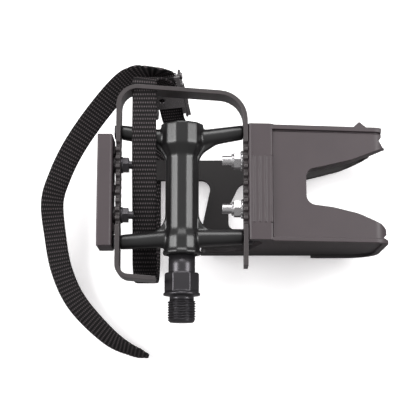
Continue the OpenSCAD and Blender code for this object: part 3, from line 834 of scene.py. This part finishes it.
@dataclass(frozen=True)
class Cast(Softened):
    """A die-cast node whose edges and corners flow into each other."""

    voxel: float = 0.45
    passes: int = 24

    def build(self, frame: dict[str, object]) -> None:
        """Wrap the node in an even grid and relax it, which fillets every corner.
        """
        piece = self.copy(frame)
        grid = piece.modifiers.new("grid", "REMESH")
        grid.mode = "VOXEL"
        grid.voxel_size = self.voxel * MM
        grid.use_smooth_shade = True
        relax = piece.modifiers.new("relax", "SMOOTH")
        relax.factor = 0.5
        relax.iterations = self.passes
        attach(piece, self.body)
        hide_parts(self.node)
        LOG.info("cast %s", self.node)


SOFT_NODES: tuple[Softened, ...] = (
    Cast("pedal_body"),
    Softened("toe_clip", 0.3),
    Softened("cage", 0.22),
    Softened("reflector_housing", 0.4),
    Softened("clip_nuts", 0.15),
    Softened("clip_bolts", 0.25),
    Softened("clip_washers", 0.1, 1),
    Softened("cage_screws", 0.2),
    Softened("reflector_nuts", 0.15),
    Softened("reflector_studs", 0.2),
    Softened("buckle_frame", 0.15),
    Softened("buckle_lever", 0.12, body="lever"),
    Softened("buckle_pin", 0.15),
    Softened("roller_pin", 0.15),
    Softened("buckle_roller", 0.15, body="roller"),
    Softened("dust_cap", 0.3),
)


class Lamp(Enum):
    """The studio's soft boxes, each by its place, its width in metres and its power in watts."""

    LEFT = ((-0.8, 0.15, 0.62), 0.5, 8.5)
    RIGHT = ((0.85, 0.15, 0.62), 0.5, 7.5)
    BACK = ((0.05, 0.9, 0.6), 0.6, 7.0)


@dataclass
class Studio:
    """Camera, lamps and floor."""

    look_at: tuple[float, float, float] = (0.0132, 0.0446, 0.0)
    elevation: float = 80.0
    distance: float = 0.6
    px_mm: float = 0.508
    frame_px: int = 416
    floor_z: float = -0.0632
    floor_lift: float = 0.3
    horizon: float = 0.08
    zenith: float = 0.6

    def build(self) -> None:
        """Place the camera, the lamps and the floor."""
        camera = bpy.data.cameras.new("camera")
        camera.lens = 36 * self.distance / (self.frame_px * self.px_mm * MM)
        camera.clip_end = 10
        piece = bpy.data.objects.new("camera", camera)
        bpy.context.scene.collection.objects.link(piece)
        rise = math.radians(self.elevation)
        aim = Vector(self.look_at)
        piece.location = aim + Vector((0, -math.cos(rise), math.sin(rise))) * self.distance
        piece.rotation_euler = (aim - piece.location).to_track_quat("-Z", "Y").to_euler()
        bpy.context.scene.camera = piece
        for lamp in Lamp:
            self.lamp(lamp, aim)
        self.floor()
        self.world()
        bpy.context.scene.view_settings.view_transform = "Standard"

    def lamp(self, lamp: Lamp, aim: Vector) -> None:
        """Add one soft box that faces the object.

        Args:
            lamp: Which box.
            aim: The place that it faces.
        """
        place, width, power = lamp.value
        light = bpy.data.lights.new("lamp_" + lamp.name.lower(), "AREA")
        light.size = width
        light.energy = power
        piece = bpy.data.objects.new(light.name, light)
        piece.location = place
        piece.rotation_euler = (aim - Vector(place)).to_track_quat("-Z", "Y").to_euler()
        bpy.context.scene.collection.objects.link(piece)

    def floor(self) -> None:
        """Lay a floor under the part: white to the camera, mid grey in what it throws back."""
        corners = np.array([[[-2, -2, 0], [2, -2, 0]], [[-2, 2, 0], [2, 2, 0]]], float)
        corners[..., 2] = self.floor_z
        piece = grid_mesh("floor", corners, False)
        material = bpy.data.materials.new("floor_white")
        material.use_nodes = True
        tree = material.node_tree
        shader = tree.nodes["Principled BSDF"]
        seen = add(tree, "LightPath").outputs["Is Camera Ray"]
        white = add(
            tree,
            "Mix",
            {"data_type": "RGBA"},
            _0=seen,
            _6=to_linear("7c7a7b"),
            _7=to_linear("ffffff"),
        )
        lift = add(tree, "Math", {"operation": "MULTIPLY", 1: self.floor_lift}, _0=seen)
        tree.links.new(white.outputs[2], shader.inputs["Base Color"])
        tree.links.new(lift.outputs[0], shader.inputs["Emission Strength"])
        shader.inputs["Emission Color"].default_value = to_linear("fffafc")
        shader.inputs["Roughness"].default_value = 0.9
        piece.data.materials.append(material)

    def world(self) -> None:
        """Fill the surroundings with pale light that fades from overhead to the horizon."""
        world = bpy.data.worlds.new("studio")
        bpy.context.scene.world = world
        world.use_nodes = True
        tree = world.node_tree
        background = tree.nodes["Background"]
        background.inputs["Color"].default_value = to_linear("ffffff")
        height = add(tree, "SeparateXYZ", None, Vector=add(tree, "TexCoord").outputs["Generated"])
        span = {"To Min": self.horizon, "To Max": self.zenith}
        fade = add(tree, "MapRange", span, Value=height.outputs["Z"])
        tree.links.new(fade.outputs["Result"], background.inputs["Strength"])


def dress(frame: dict[str, object]) -> None:
    """Give every CAD node its finish.
    """
    made: dict[str, bpy.types.Material] = {}
    for node, finish in CAD_FINISHES.items():
        if finish.name not in made:
            made[finish.name] = finish.build()
        piece = frame["nodes"][node]
        piece.data.materials.clear()
        piece.data.materials.append(made[finish.name])


def main() -> dict[str, object]:
    """Build the studio and the part.
    """
    logging.basicConfig(level=logging.INFO)
    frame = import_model()
    Studio().build()
    dress(frame)
    LOG.info("dressed %d nodes", len(CAD_FINISHES))
    for soft in SOFT_NODES:
        soft.build(frame)
    Spindle().build()
    Strap().build()
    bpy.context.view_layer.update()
    return frame


if __name__ == "__main__":
    main()
